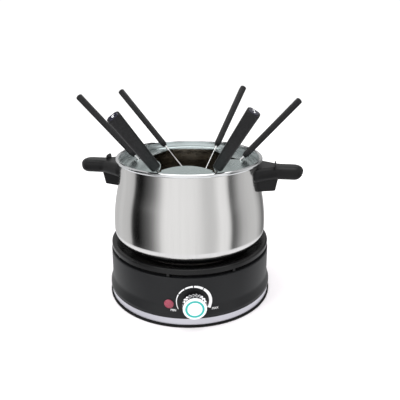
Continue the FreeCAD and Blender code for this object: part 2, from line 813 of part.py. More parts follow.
def edge_loop(shape, z):
    """The edges of a shape that lie at one height, except those across the handle's root."""
    root = pot_neck_r - handle_root
    return [e for e in shape.Edges
            if all(abs(v.Z - z) < 1e-6 for v in e.Vertexes)
            and any(abs(v.X - root) > 1e-6 for v in e.Vertexes)]


def grip_bar():
    """The grip with its long edges rounded and its end swept up from below."""
    bar = grip_plan().extrude(Vector(0, 0, grip_t))
    bar = bar.makeFillet(grip_top_round, edge_loop(bar, grip_top_z))
    bar = bar.makeFillet(grip_low_round, edge_loop(bar, grip_low_z))
    wide = 4 * grip_flare_half
    side = rounded_wire([(Vector(0, -wide / 2, grip_low_z), 0.0),
                         (Vector(grip_reach, -wide / 2, grip_low_z), grip_end_round),
                         (Vector(grip_reach, -wide / 2, grip_top_z), 0.0),
                         (Vector(0, -wide / 2, grip_top_z), 0.0)])
    return bar.common(Part.Face(side).extrude(Vector(0, wide, 0)))


def block_section(z, half_wall, half_out, reach):
    """Level section of the block under the grip."""
    root = pot_neck_r - handle_root
    return rounded_wire([(Vector(root, -half_wall, z), 0.0), (Vector(reach, -half_out, z), block_round),
                         (Vector(reach, half_out, z), block_round), (Vector(root, half_wall, z), 0.0)])


def handle_rib():
    """Thin stop that runs over one long edge of the grip and a little way down its side."""
    z = grip_top_z
    outline = rounded_wire([(Vector(rib_r, -rib_near + rib_root, z - rib_drop), 0.0),
                            (Vector(rib_r, rib_far, z - rib_root), 0.0),
                            (Vector(rib_r, rib_far, z + rib_h), rib_corner),
                            (Vector(rib_r, -rib_near, z + rib_h), rib_round),
                            (Vector(rib_r, -rib_near, z - rib_drop), 0.0)])
    return Part.Face(outline).extrude(Vector(rib_t, 0, 0))


def handle_blank():
    """Right-hand handle along +X before the pot's wall is cut from it."""
    low = block_section(grip_low_z - block_h, block_half_w - block_draft,
                        block_outer_half - block_draft / 2, block_foot_r)
    high = block_section(grip_low_z + block_lap, block_half_w, block_outer_half, block_outer_r)
    block = Part.makeLoft([low, high], True, True)
    return grip_bar().fuse(block).fuse(handle_rib()).removeSplitter()


def bracket_z():
    return grip_low_z - block_h / 2 + bracket_rise


def wall_profile_gap(gap):
    """The pot's outer skin grown by a gap, up to just above the rim."""
    return pot_solid(-gap, rim_z + 5).fuse(Part.makeCylinder(pot_neck_r + 2 * bead_r + 0.4, 9,
                                                             Vector(0, 0, rim_z - 2 * bead_r - 0.4)))


def make_handle(degrees):
    gap = bracket_pocket_gap
    z = bracket_z()
    pocket = box(pot_neck_r - bracket_reach, pot_neck_r + stud_length + 3.0,
                 -bracket_w / 2 - gap, bracket_w / 2 + gap,
                 z - bracket_h / 2 - gap, z + bracket_h / 2 + gap)
    handle = handle_blank().cut(wall_profile_gap(wall_hug_gap)).cut(pocket)
    out = Vector(1, 0, 0)
    through = Part.makeCylinder(screw_r + screw_gap, grip_reach, Vector(pot_neck_r, 0, z), out)
    well = Part.makeCylinder(screw_head_r + screw_well_gap, screw_well_depth,
                             Vector(screw_seat_r(), 0, z), out)
    return spin(handle.cut(through.common(box(0, screw_seat_r() + 1, -90, 90, 0, 300))).cut(well),
                pot_turn + degrees)


def screw_seat_r():
    """Distance from the Z axis to where a handle screw's head seats."""
    return block_foot_r - screw_seat_depth


def make_bracket(degrees):
    """Steel foot welded to the pot's wall, with the threaded stud that takes the screw."""
    z = bracket_z()
    foot = box(pot_neck_r - bracket_reach, pot_neck_r + bracket_reach, -bracket_w / 2, bracket_w / 2,
               z - bracket_h / 2, z + bracket_h / 2)
    foot = foot.common(pot_solid(-bracket_t, rim_z)).cut(pot_solid(0.0, rim_z))
    stud = Part.makeCylinder(stud_r, 12, Vector(pot_neck_r + stud_length - 10, 0, z), Vector(1, 0, 0))
    stud = stud.cut(pot_solid(0.0, rim_z))
    bore = Part.makeCylinder(screw_r + screw_gap, 30, Vector(pot_neck_r + 3.2, 0, z), Vector(1, 0, 0))
    return spin(foot.fuse(stud).cut(bore).removeSplitter(), pot_turn + degrees)


def make_handle_screw(degrees):
    screw = pan_screw(ORIGIN, handle_screw_length)
    screw.rotate(ORIGIN, Vector(0, 1, 0), -90)
    screw.translate(Vector(screw_seat_r(), 0, bracket_z()))
    return spin(screw, pot_turn + degrees)


# ---------------------------------------------------------------- fork guard
def make_guard():
    slope = math.tan(math.radians(guard_slope_deg))
    top_r = 20.0
    rise = (guard_cone_r - top_r) * slope
    z = guard_z
    g = guard_groove_d
    outer = guard_r
    flange_in = outer - guard_flange_w
    t = guard_t
    guard = turned([
        (outer, z, 0.35), (outer, z + t, 0.35), (flange_in, z + t, 0.5),
        (flange_in - 0.5 * guard_groove_w, z + t - g, 0.5), (guard_cone_r, z + t, 0.5),
        (top_r, z + t + rise, 0.0), (top_r, z + rise, 0.0), (guard_cone_r, z, 0.5),
        (flange_in - 0.5 * guard_groove_w, z - g, 0.5), (flange_in, z, 0.5)])
    cusps = ring_points(6, notch_ring_r, z - 5)
    tips = ring_points(6, lobe_tip_r, z - 5, 30.0)
    arcs = [Part.Arc(cusps[i], tips[i], cusps[(i + 1) % 6]).toShape() for i in range(6)]
    star = Part.Face(Part.Wire(arcs)).extrude(Vector(0, 0, 30))
    guard = guard.cut(star)
    for p in cusps:
        guard = guard.cut(Part.makeCylinder(notch_r, 30, p))
    return spin(guard, guard_turn)


def notch_height():
    """Height of the guard's mid-sheet at the notches."""
    slope = math.tan(math.radians(guard_slope_deg))
    return guard_z + guard_t / 2 + (guard_cone_r - notch_ring_r) * slope


# ---------------------------------------------------------------- forks, built along +Z from the notch
def rounded_section(width, thick, z):
    w, t = width / 2, thick / 2
    c = min(fork_corner, t * 0.9)
    return rounded_wire([(Vector(-w, -t, z), c), (Vector(w, -t, z), c), (Vector(w, t, z), c),
                         (Vector(-w, t, z), c)])


def fork_steel():
    head = fork_tip_reach - tine_length
    rod = Part.makeCylinder(fork_rod_r, head + fork_handle_start + fork_tang, Vector(0, 0, -head))
    inner, outer = tine_gap / 2, tine_gap / 2 + tine_w
    low = -fork_tip_reach
    half = [(fork_rod_r, -head + 5.0), (outer, -head - 2.0), (outer, low + tine_point + 1.2),
            (outer + barb_h, low + tine_point + 1.4), (inner + 0.35 * tine_w, low),
            (inner, low + tine_point), (inner, -head - 4.0)]
    right = [Vector(x, 0, z) for x, z in half]
    left = [Vector(-x, 0, z) for x, z in reversed(half)]
    outline = right + [Vector(0, 0, -head - 2.2)] + left
    prongs = Part.Face(Part.makePolygon(outline + outline[:1])).extrude(Vector(0, tine_t, 0))
    prongs.translate(Vector(0, -tine_t / 2, 0))
    return rod.fuse(prongs).removeSplitter()


def fork_handle():
    z0 = fork_handle_start
    z1 = z0 + fork_handle_length
    neck = Part.makeCone(fork_neck_r, fork_neck_r + 0.8, fork_end_taper, Vector(0, 0, z0))
    low = rounded_section(fork_width_low - 2.4, fork_thick_low - 2.0, z0 + 1.2)
    wide = rounded_section(fork_width_low, fork_thick_low, z0 + 1.2 + fork_end_taper)
    top = rounded_section(fork_width_top, fork_thick_top, z1 - 1.2)
    end = rounded_section(fork_width_top - 1.6, fork_thick_top - 1.6, z1)
    body = Part.makeLoft([low, wide], True, True).fuse(Part.makeLoft([wide, top], True, True))
    body = body.fuse(Part.makeLoft([top, end], True, True)).fuse(neck)
    tang = Part.makeCylinder(fork_rod_r, fork_tang + 1, Vector(0, 0, z0 - 1))
    seat = Part.makeLoft([rounded_section(*plug_size(), z1 - plug_depth + plug_proud),
                          rounded_section(*plug_size(), z1 + 1)], True, True)
    return body.cut(tang).cut(seat).removeSplitter()


def plug_size():
    return fork_width_top - 2 * plug_inset - 1.0, fork_thick_top - 2 * plug_inset


def fork_plug():
    z1 = fork_handle_start + fork_handle_length
    low = rounded_section(*plug_size(), z1 - plug_depth + plug_proud)
    high = rounded_section(*plug_size(), z1 + 0.3)
    width, thick = plug_size()
    crown = rounded_section(width - 1.2, thick - 1.0, z1 + plug_proud)
    stem = Part.makeLoft([low, high], True, True)
    return stem.fuse(Part.makeLoft([high, crown], True, True)).removeSplitter()


def fork_frame(index):
    """Placement of a fork: its own +Z runs up the handle from the notch it lies in."""
    tilt, lean, roll = (math.radians(a) for a in fork_angles[index])
    turn = math.radians(guard_turn + 60.0 * index)
    heading = turn + lean
    axis = Vector(math.cos(tilt) * math.cos(heading), math.cos(tilt) * math.sin(heading), math.sin(tilt))
    level = UP.cross(axis).normalize()
    normal = axis.cross(level)
    width = level * math.cos(roll) + normal * math.sin(roll)
    thick = axis.cross(width)
    p = Vector(notch_ring_r * math.cos(turn), notch_ring_r * math.sin(turn), notch_height())
    m = FreeCAD.Matrix(width.x, thick.x, axis.x, p.x, width.y, thick.y, axis.y, p.y,
                       width.z, thick.z, axis.z, p.z, 0, 0, 0, 1)
    return FreeCAD.Placement(m)


def placed(shape, placement):
    copy = shape.copy()
    copy.transformShape(placement.toMatrix(), True)
    return copy


# ---------------------------------------------------------------- build
collar_screw_first = spacer_turn + 180.0 / spacer_count

save("foot_ring", make_foot_ring())
save("trim_band", make_trim_band())
save("base_plate", make_base_plate())
save("base_housing", make_housing())
save("top_collar", make_collar())
screw_seat = plate_z + screw_head_h + 0.3
save("base_screws", *[pan_screw(p, 14.0) for p in
                      ring_points(base_screw_count, base_screw_ring_r, screw_seat, base_screw_turn)])
save("collar_screws", *[pan_screw(p, 5.5) for p in
                        ring_points(spacer_count, collar_screw_ring_r, housing_top_z - top_flange_t,
                                    collar_screw_first)])
save("heating_plate", make_hot_plate())
save("heating_element", make_element())
save("heat_shield", make_shield())
save("shield_posts", *make_posts())
save("shield_nuts", *make_post_nuts())
save("thermostat_body", make_thermostat())
save("thermostat_plate", make_stat_plate())
save("thermostat_nut", make_stat_nut())
save("thermostat_blades", *make_stat_blades())
save("lamp_lens", make_lamp_lens())
save("lamp_bulb", make_lamp_bulb())
save("power_inlet", make_inlet())
save("inlet_pins", *make_inlet_pins())
save("lead_wires", *make_leads())
save("control_shaft", make_shaft())
save("knob_body", make_knob_body())
save("knob_cap", make_knob_cap())
save("knob_ring", make_knob_ring())
save("pot_shell", make_pot())
save("pot_base_disc", make_pot_disc())
for side, degrees in (("right", 0.0), ("left", 180.0)):
    save("handle_" + side, make_handle(degrees))
    save("handle_bracket_" + side, make_bracket(degrees))
    save("handle_screw_" + side, make_handle_screw(degrees))
save("fork_guard", make_guard())
for index in range(6):
    frame = fork_frame(index)
    name = "fork_" + str(index + 1)
    save(name + "_steel", placed(fork_steel(), frame))
    save(name + "_handle", placed(fork_handle(), frame))
    save(name + "_end_plug", placed(fork_plug(), frame))
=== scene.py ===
import json
import math
import bmesh
import bpy
from mathutils import Matrix, Vector
from mathutils.bvhtree import BVHTree


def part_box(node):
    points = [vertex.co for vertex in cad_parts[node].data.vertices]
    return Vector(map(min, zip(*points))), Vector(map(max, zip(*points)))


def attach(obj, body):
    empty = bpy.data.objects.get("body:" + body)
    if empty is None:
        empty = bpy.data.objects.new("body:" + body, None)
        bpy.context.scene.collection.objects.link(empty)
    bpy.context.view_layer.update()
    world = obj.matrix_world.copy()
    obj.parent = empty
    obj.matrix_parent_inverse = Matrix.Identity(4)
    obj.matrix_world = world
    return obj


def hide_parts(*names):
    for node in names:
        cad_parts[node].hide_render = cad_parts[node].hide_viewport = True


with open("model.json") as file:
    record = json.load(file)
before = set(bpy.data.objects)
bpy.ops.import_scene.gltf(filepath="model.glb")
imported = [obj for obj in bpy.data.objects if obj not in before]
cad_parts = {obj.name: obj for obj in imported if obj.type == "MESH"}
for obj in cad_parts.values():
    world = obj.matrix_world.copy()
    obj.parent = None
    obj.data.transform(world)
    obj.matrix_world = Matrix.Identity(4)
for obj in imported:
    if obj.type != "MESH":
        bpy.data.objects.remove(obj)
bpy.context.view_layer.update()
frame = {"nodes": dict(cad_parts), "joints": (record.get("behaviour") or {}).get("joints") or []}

part = frame["nodes"]


# ---------------------------------------------------------------- rubber foot ring
# The set stands on one soft black rubber ring, moulded in one piece and pressed over the
# edge of the base plate.  It is dull, a little chalky, and dusty where it meets the table.

class Amount:
    """A number or a vector that changes over a surface; arithmetic on it adds Math nodes."""

    def __init__(self, finish, socket):
        self.finish = finish
        self.socket = socket

    def sum(self, operation, *values):
        return self.finish.node("ShaderNodeMath", {"operation": operation},
                                dict(enumerate(values)))

    def __add__(self, other): return self.sum("ADD", self, other)
    def __radd__(self, other): return self.sum("ADD", other, self)
    def __sub__(self, other): return self.sum("SUBTRACT", self, other)
    def __rsub__(self, other): return self.sum("SUBTRACT", other, self)
    def __mul__(self, other): return self.sum("MULTIPLY", self, other)
    def __rmul__(self, other): return self.sum("MULTIPLY", other, self)
    def __truediv__(self, other): return self.sum("DIVIDE", self, other)
    def __pow__(self, other): return self.sum("POWER", self, other)

    def split(self):
        parted = self.finish.node("ShaderNodeSeparateXYZ", {}, {0: self})
        outs = parted.socket.node.outputs
        return [Amount(self.finish, outs[i]) for i in range(3)]

    def ease(self, low, high, start=0.0, end=1.0):
        return self.finish.node("ShaderNodeMapRange", {"interpolation_type": "SMOOTHSTEP"},
                                {0: self, 1: low, 2: high, 3: start, 4: end})


class Finish:
    """A procedural material, built node by node and closed with coat()."""

    def __init__(self, name):
        self.material = bpy.data.materials.new(name)
        self.material.use_nodes = True
        self.tree = self.material.node_tree
        self.tree.nodes.clear()

    def node(self, kind, settings, sockets, out=0):
        made = self.tree.nodes.new(kind)
        for name, value in settings.items():
            if name == "stops":
                ramp = made.color_ramp
                while len(ramp.elements) < len(value):
                    ramp.elements.new(0.5)
                for element, (place, colour) in zip(ramp.elements, value):
                    element.position = place
                    element.color = (*colour, 1.0)
            else:
                setattr(made, name, value)
        for key, value in sockets.items():
            if isinstance(value, Amount):
                self.tree.links.new(value.socket, made.inputs[key])
            else:
                made.inputs[key].default_value = value
        return Amount(self, made.outputs[out]) if made.outputs else None

    def place(self):
        return self.node("ShaderNodeTexCoord", {}, {}, out="Object")

    def vector(self, x, y, z):
        return self.node("ShaderNodeCombineXYZ", {}, {0: x, 1: y, 2: z})

    def noise(self, at, scale, detail=3.0, rough=0.5):
        return self.node("ShaderNodeTexNoise", {"noise_dimensions": "3D"},
                         {"Vector": at, "Scale": scale, "Detail": detail, "Roughness": rough})

    def blend(self, amount, one, two):
        return self.node("ShaderNodeMix", {"data_type": "RGBA"}, {0: amount, 6: one, 7: two}, out=2)

    def bump(self, height, distance, strength=1.0):
        return self.node("ShaderNodeBump", {}, {"Height": height, "Distance": distance,
                                                "Strength": strength})

    def coat(self, **sockets):
        names = {"colour": "Base Color", "rough": "Roughness", "metal": "Metallic",
                 "normal": "Normal", "varnish": "Coat Weight", "varnish_rough": "Coat Roughness",
                 "gloss": "Specular IOR Level", "clear": "Transmission Weight",
                 "depth": "Subsurface Weight"}
        shader = self.node("ShaderNodeBsdfPrincipled", {},
                           {names[key]: value for key, value in sockets.items()})
        self.node("ShaderNodeOutputMaterial", {}, {"Surface": shader})
        return self.material


def shade(red, green, blue):
    """A colour by its screen values, 0 to 255, as the light values a shader takes."""
    return tuple((v / 255 / 12.92 if v < 10.3 else ((v / 255 + 0.055) / 1.055) ** 2.4)
                 for v in (red, green, blue)) + (1.0,)


def dress(material, *nodes):
    """Gives CAD nodes their finish."""
    for name in nodes:
        slots = part[name].data.materials
        slots.clear()
        slots.append(material)


def rubber():
    made = Finish("foot_rubber")
    at = made.place()
    x, y, z = at.split()
    speckle = made.noise(at, 900.0, 4.0, 0.65)
    bloom = made.noise(at, 35.0, 3.0)
    dust = z.ease(0.0, 0.0012, 0.30, 0.0) * bloom
    colour = made.blend(dust, shade(15, 15, 16), shade(70, 68, 66))
    return made.coat(colour=colour, rough=0.62 + 0.25 * speckle, gloss=0.2,
                     normal=made.bump(speckle, 0.00012, 0.5))


dress(rubber(), "foot_ring")


# ---------------------------------------------------------------- bright trim band
# A thin band of stainless strip, rolled into a ring and sprung over the foot of the housing.
# It was brushed along its length before it was rolled, so its lines run round the base.

def trim_steel():
    made = Finish("trim_brushed_steel")
    x, y, z = made.place().split()
    lines = made.noise(made.vector(x * 9.0, y * 9.0, z * 5200.0), 1.0, 5.0, 0.7)
    smears = made.noise(made.vector(x * 14.0, y * 14.0, z * 160.0), 1.0, 2.0)
    colour = made.blend(lines, shade(196, 195, 204), shade(232, 231, 238))
    return made.coat(colour=colour, metal=1.0, rough=0.26 + 0.16 * lines + 0.08 * smears,
                     normal=made.bump(lines, 0.00006, 0.35))


dress(trim_steel(), "trim_band")


# ---------------------------------------------------------------- base plate and housing
# The plate that closes the base and the round housing are black polypropylene mouldings held
# by four screws.  The housing's wall is spark-eroded to a fine satin, the plate is plainer.

def moulded_black(name, dark, light, rough, grain, grain_depth, scuffs=0.10, gloss=0.3):
    made = Finish(name)
    at = made.place()
    fine = made.noise(at, grain, 3.0, 0.6)
    cloud = made.noise(at, 24.0, 3.0)
    worn = made.noise(at, 210.0, 4.0, 0.7).ease(0.62, 0.78)
    colour = made.blend(fine * 0.6 + cloud * 0.4, dark, light)
    return made.coat(colour=colour, rough=rough + 0.10 * fine + scuffs * worn, gloss=gloss,
                     normal=made.bump(fine, grain_depth, 0.45))


def plated_screw_steel():
    made = Finish("zinc_plated_steel")
    at = made.place()
    spangle = made.node("ShaderNodeTexVoronoi", {"feature": "F1"},
                        {"Vector": at, "Scale": 900.0}, out="Distance")
    stain = made.noise(at, 320.0, 4.0, 0.6)
    colour = made.blend(stain, shade(168, 168, 172), shade(206, 205, 200))
    return made.coat(colour=colour, metal=1.0, rough=0.28 + 0.22 * stain,
                     normal=made.bump(spangle, 0.00003, 0.3))


dress(moulded_black("housing_satin_black", shade(16, 17, 19), shade(23, 24, 26),
                    0.38, 2600.0, 0.00004), "base_housing")
plain_moulding = moulded_black("plate_plain_black", shade(18, 18, 19), shade(27, 27, 28),
                               0.55, 1400.0, 0.00006, 0.16)
zinc = plated_screw_steel()
dress(plain_moulding, "base_plate")
dress(zinc, "base_screws")


# ---------------------------------------------------------------- top collar
# The collar round the hot plate is moulded in a heat-proof nylon with a smooth, glossy dish.
# It stands on short ribs over a shadow gap, so hot air leaves under its lip, and is screwed
# down from below.

def collar_gloss():
    made = Finish("collar_gloss_black")
    at = made.place()
    ripple = made.noise(at, 60.0, 2.0)
    dust = made.noise(at, 1500.0, 3.0, 0.7).ease(0.66, 0.85)
    wiped = made.noise(at, 30.0, 3.0)
    colour = made.blend(dust * 0.25, shade(8, 8, 9), shade(26, 26, 26))
    return made.coat(colour=colour, rough=0.24 + 0.08 * wiped + 0.1 * dust, gloss=0.34,
                     normal=made.bump(ripple, 0.0001, 0.15))


dress(collar_gloss(), "top_collar")
dress(zinc, "collar_screws")


# ---------------------------------------------------------------- hot plate and its fittings
# A cast plate with a dark heat-proof coating carries a tubular element under it.  A pressed
# steel shield hangs below on plated posts and keeps the heat off the base.

def coated_casting():
    made = Finish("hot_plate_coating")
    at = made.place()
    x, y, z = at.split()
    radius = (x * x + y * y) ** 0.5
    turned = made.noise(made.vector(radius * 4200.0, z * 4200.0, 0.0), 1.0, 2.0)
    pits = made.noise(at, 1900.0, 4.0, 0.7)
    heat = made.noise(at, 26.0, 3.0)
    colour = made.blend(heat, shade(62, 61, 61), shade(92, 88, 84))
    return made.coat(colour=colour, metal=0.4, rough=0.48 + 0.25 * pits,
                     normal=made.bump(turned * 0.6 + pits * 0.4, 0.00008, 0.5))


def element_sheath():
    made = Finish("element_sheath")
    at = made.place()
    oxide = made.noise(at, 240.0, 5.0, 0.65)
    colour = made.blend(oxide, shade(118, 108, 100), shade(164, 152, 138))
    return made.coat(colour=colour, metal=0.85, rough=0.42 + 0.3 * oxide,
                     normal=made.bump(oxide, 0.0001, 0.4))


def pressed_sheet():
    made = Finish("pressed_steel_sheet")
    at = made.place()
    x, y, z = at.split()
    rolled = made.noise(made.vector(x * 2600.0, y * 90.0, z * 900.0), 1.0, 4.0, 0.6)
    tint = made.noise(at, 42.0, 3.0)
    colour = made.blend(tint, shade(170, 170, 168), shade(204, 201, 194))
    return made.coat(colour=colour, metal=1.0, rough=0.30 + 0.2 * rolled,
                     normal=made.bump(rolled, 0.00004, 0.3))


dress(coated_casting(), "heating_plate")
dress(element_sheath(), "heating_element")
sheet_steel = pressed_sheet()
dress(sheet_steel, "heat_shield")
dress(zinc, "shield_posts", "shield_nuts")


# ---------------------------------------------------------------- thermostat and mains inlet
# Inside the wall a steatite block carries the thermostat's brass blades.  The mains comes in
# at the back, through a recess with two brass pins, and runs in woven glass sleeving.

def steatite():
    made = Finish("thermostat_steatite")
    at = made.place()
    fine = made.noise(at, 1300.0, 3.0, 0.6)
    colour = made.blend(fine, shade(214, 210, 198), shade(236, 233, 224))
    return made.coat(colour=colour, rough=0.55 + 0.25 * fine,
                     normal=made.bump(fine, 0.00006, 0.4))


def brass():
    made = Finish("stamped_brass")
    at = made.place()
    tarnish = made.noise(at, 260.0, 4.0, 0.6)
    colour = made.blend(tarnish, shade(206, 172, 98), shade(166, 126, 66))
    return made.coat(colour=colour, metal=1.0, rough=0.22 + 0.3 * tarnish,
                     normal=made.bump(tarnish, 0.00003, 0.3))


def glass_sleeving():
    made = Finish("woven_glass_sleeving")
    at = made.place()
    weave = made.node("ShaderNodeTexWave", {"wave_type": "BANDS", "bands_direction": "DIAGONAL"},
                      {"Vector": at, "Scale": 620.0, "Distortion": 1.5})
    colour = made.blend(weave, shade(188, 178, 158), shade(226, 219, 202))
    return made.coat(colour=colour, rough=0.7 + 0.2 * weave,
                     normal=made.bump(weave, 0.00012, 0.6))


stamped_brass = brass()
dress(steatite(), "thermostat_body")
dress(zinc, "thermostat_plate")
dress(stamped_brass, "thermostat_nut", "thermostat_blades", "inlet_pins")
dress(plain_moulding, "power_inlet")
dress(glass_sleeving(), "lead_wires")


# ---------------------------------------------------------------- signal lamp
# The lamp's lens is a translucent red moulding with a stippled back, clipped into the wall to
# the left of the knob.  A small neon tube sits behind it.

def red_lens():
    made = Finish("lamp_red_lens")
    at = made.place()
    cells = made.node("ShaderNodeTexVoronoi", {"feature": "F1"},
                      {"Vector": at, "Scale": 620.0}, out="Distance")
    cloud = made.noise(at, 300.0, 3.0)
    colour = made.blend(cells * 0.7 + cloud * 0.5, shade(112, 34, 52), shade(160, 66, 86))
    return made.coat(colour=colour, rough=0.34, varnish=0.25, varnish_rough=0.2,
                     normal=made.bump(cells, 0.0003, 0.5))


def neon_glass():
    made = Finish("neon_tube_glass")
    at = made.place()
    soot = made.noise(at, 500.0, 3.0)
    colour = made.blend(soot, shade(244, 226, 214), shade(214, 190, 178))
    return made.coat(colour=colour, clear=0.85, rough=0.06 + 0.1 * soot)


dress(red_lens(), "lamp_lens")
dress(neon_glass(), "lamp_bulb")


# ---------------------------------------------------------------- printed dial
# The heat scale is printed in white on the housing round the knob: five strokes that grow
# thicker from least to most, with the two ends named.  The ink follows the wall's curve.

knob_low, knob_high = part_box("knob_body")
knob_centre = (knob_low + knob_high) / 2
stroke_ends = [(-154, 152.8), (149.2, 124.6), (121.2, 93.8), (90.2, 58.8), (55.2, -26)]
stroke_widths = [(0.0006, 0.0011), (0.0011, 0.0016), (0.0016, 0.0021), (0.0021, 0.0028),
                 (0.0028, 0.0036)]
stroke_outer = 0.0195
word_height = 0.0034
ink_depth = 0.00007
wall_net = BVHTree.FromPolygons(
    [v.co for v in part["base_housing"].data.vertices],
    [p.vertices for p in part["base_housing"].data.polygons])


def mesh_piece(name, mesh, material, body, smooth=True):
    """Links a finished mesh as a piece that rides on a body."""
    mesh.materials.clear()
    mesh.materials.append(material)
    for polygon in mesh.polygons:
        polygon.use_smooth = smooth
    piece = bpy.data.objects.new(name, mesh)
    bpy.context.scene.collection.objects.link(piece)
    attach(piece, body)
    return piece


def print_on_wall(mesh):
    """Lays a mesh drawn in X and Z onto the housing, its back face touching the wall."""
    for vertex in mesh.vertices:
        start = Vector((vertex.co.x, knob_low.y - 0.05, vertex.co.z))
        hit = wall_net.ray_cast(start, Vector((0, 1, 0)))[0]
        vertex.co.y = hit.y + vertex.co.y


def arc_stroke(steps_per_degree=0.5):
    """The five strokes of the scale as closed strips round the knob."""
    made = bmesh.new()
    for (start, end), (thin, thick) in zip(stroke_ends, stroke_widths):
        sweep = (start - end) % 360
        steps = max(6, int(sweep * steps_per_degree))
        rings = []
        for k in range(steps + 1):
            share = k / steps
            turn = math.radians(start - sweep * share)
            width = thin + (thick - thin) * share
            ring = []
            for radius, depth in ((stroke_outer - width, 0.0), (stroke_outer, 0.0),
                                  (stroke_outer, -ink_depth), (stroke_outer - width, -ink_depth)):
                ring.append(made.verts.new((knob_centre.x + radius * math.cos(turn), depth,
                                            knob_centre.z + radius * math.sin(turn))))
            rings.append(ring)
        for one, two in zip(rings, rings[1:]):
            for k in range(4):
                made.faces.new((one[k], one[(k + 1) % 4], two[(k + 1) % 4], two[k]))
        made.faces.new(rings[0][::-1])
        made.faces.new(rings[-1])
    bmesh.ops.recalc_face_normals(made, faces=made.faces)
    mesh = bpy.data.meshes.new("dial_strokes")
    made.to_mesh(mesh)
    made.free()
    return mesh


def lettering(text, size, depth, matrix):
    """Raised lettering as a closed mesh, moved to its place."""
    curve = bpy.data.curves.new("lettering", "FONT")
    curve.body = text
    curve.size = size
    curve.align_x = "CENTER"
    curve.align_y = "CENTER"
    curve.extrude = depth / 2
    curve.resolution_u = 6
    holder = bpy.data.objects.new("lettering", curve)
    bpy.context.scene.collection.objects.link(holder)
    graph = bpy.context.evaluated_depsgraph_get()
    mesh = bpy.data.meshes.new_from_object(holder.evaluated_get(graph))
    bpy.data.objects.remove(holder)
    bpy.data.curves.remove(curve)
    mesh.transform(matrix @ Matrix.Translation((0, 0, depth / 2)))
    return mesh


def white_ink():
    made = Finish("white_print_ink")
    at = made.place()
    grain = made.noise(at, 2600.0, 3.0, 0.7)
    thin = made.noise(at, 700.0, 3.0).ease(0.6, 0.75)
    colour = made.blend(thin * 0.35, shade(240, 241, 242), shade(186, 188, 190))
    return made.coat(colour=colour, rough=0.42 + 0.2 * grain)


ink = white_ink()
strokes = arc_stroke()
print_on_wall(strokes)
mesh_piece("dial_strokes", strokes, ink, "base", smooth=False)
for word, along, up in (("MIN", -0.0225, -0.0101), ("MAX", 0.0228, -0.0094)):
    upright = Matrix.Translation((knob_centre.x + along, 0, knob_centre.z + up)) @ \
        Matrix.Rotation(math.radians(90), 4, "X")
    letters = lettering(word, word_height, ink_depth, upright)
    print_on_wall(letters)
    mesh_piece("dial_word_" + word.lower(), letters, ink, "base", smooth=False)


# ---------------------------------------------------------------- control knob
# A chromed plastic skirt with a coarse diamond knurl is pressed on the thermostat's shaft.  A
# white cap fills its front and carries a coloured ring set in a groove.

skirt_r = (knob_high.x - knob_low.x) / 2
skirt_back = knob_high.y
skirt_front = knob_low.y
knurl_round = 22
knurl_rows = 3
knurl_height = 0.0009
knurl_first = 0.0027
knurl_margin = 0.0052
knurl_sink = 0.00004
point_top = 0.52
point_width = 0.42
point_length = 0.84
collar_in = 0.0005
collar_chamfer = 0.0009
collar_land = 0.0001
skirt_bore = 0.0042
skirt_edge = 0.0006


def revolve(name, profile, segments=96):
    """A closed ring of (radius, height) corners turned about Z."""
    made = bmesh.new()
    rings = []
    for radius, height in profile:
        rings.append([made.verts.new((radius * math.cos(math.tau * k / segments),
                                      radius * math.sin(math.tau * k / segments), height))
                      for k in range(segments)])
    for one, two in zip(rings, rings[1:] + rings[:1]):
        for k in range(segments):
            made.faces.new((one[k], one[(k + 1) % segments], two[(k + 1) % segments], two[k]))
    bmesh.ops.recalc_face_normals(made, faces=made.faces)
    mesh = bpy.data.meshes.new(name)
    made.to_mesh(mesh)
    made.free()
    return mesh


class Shaper:
    """A Geometry Nodes tree under construction, with named inputs."""

    def __init__(self, name):
        self.tree = bpy.data.node_groups.new(name, "GeometryNodeTree")
        self.tree.interface.new_socket("Geometry", in_out="INPUT",
                                       socket_type="NodeSocketGeometry")
        self.tree.interface.new_socket("Geometry", in_out="OUTPUT",
                                       socket_type="NodeSocketGeometry")
        self.identifiers = {}
        self.defaults = {}

    def size(self, name, kind, value):
        socket = self.tree.interface.new_socket(name, in_out="INPUT", socket_type=kind)
        self.identifiers[name] = socket.identifier
        self.defaults[name] = value

    def open(self):
        self.inputs = self.tree.nodes.new("NodeGroupInput")
        self.outputs = self.tree.nodes.new("NodeGroupOutput")
        return self.inputs.outputs

    def node(self, kind, settings, sockets, out=0):
        made = self.tree.nodes.new(kind)
        for name, value in settings.items():
            setattr(made, name, value)
        for key, value in sockets.items():
            if isinstance(value, bpy.types.NodeSocket):
                self.tree.links.new(value, made.inputs[key])
            else:
                made.inputs[key].default_value = value
        return made.outputs[out]

    def math(self, operation, *values):
        return self.node("ShaderNodeMath", {"operation": operation}, dict(enumerate(values)))

    def close(self, geometry, material):
        realized = self.node("GeometryNodeRealizeInstances", {}, {0: geometry})
        dressed = self.node("GeometryNodeSetMaterial", {}, {"Geometry": realized,
                                                            "Material": material})
        self.tree.links.new(dressed, self.outputs.inputs[0])

    def apply(self, mesh, name):
        """Runs the tree on a mesh and returns the plain mesh that it makes."""
        holder = bpy.data.objects.new(name, mesh)
        bpy.context.scene.collection.objects.link(holder)
        modifier = holder.modifiers.new("shape", "NODES")
        modifier.node_group = self.tree
        for size_name, value in self.defaults.items():
            modifier[self.identifiers[size_name]] = value
        graph = bpy.context.evaluated_depsgraph_get()
        result = bpy.data.meshes.new_from_object(holder.evaluated_get(graph))
        holder.modifiers.clear()
        bpy.data.objects.remove(holder)
        return result


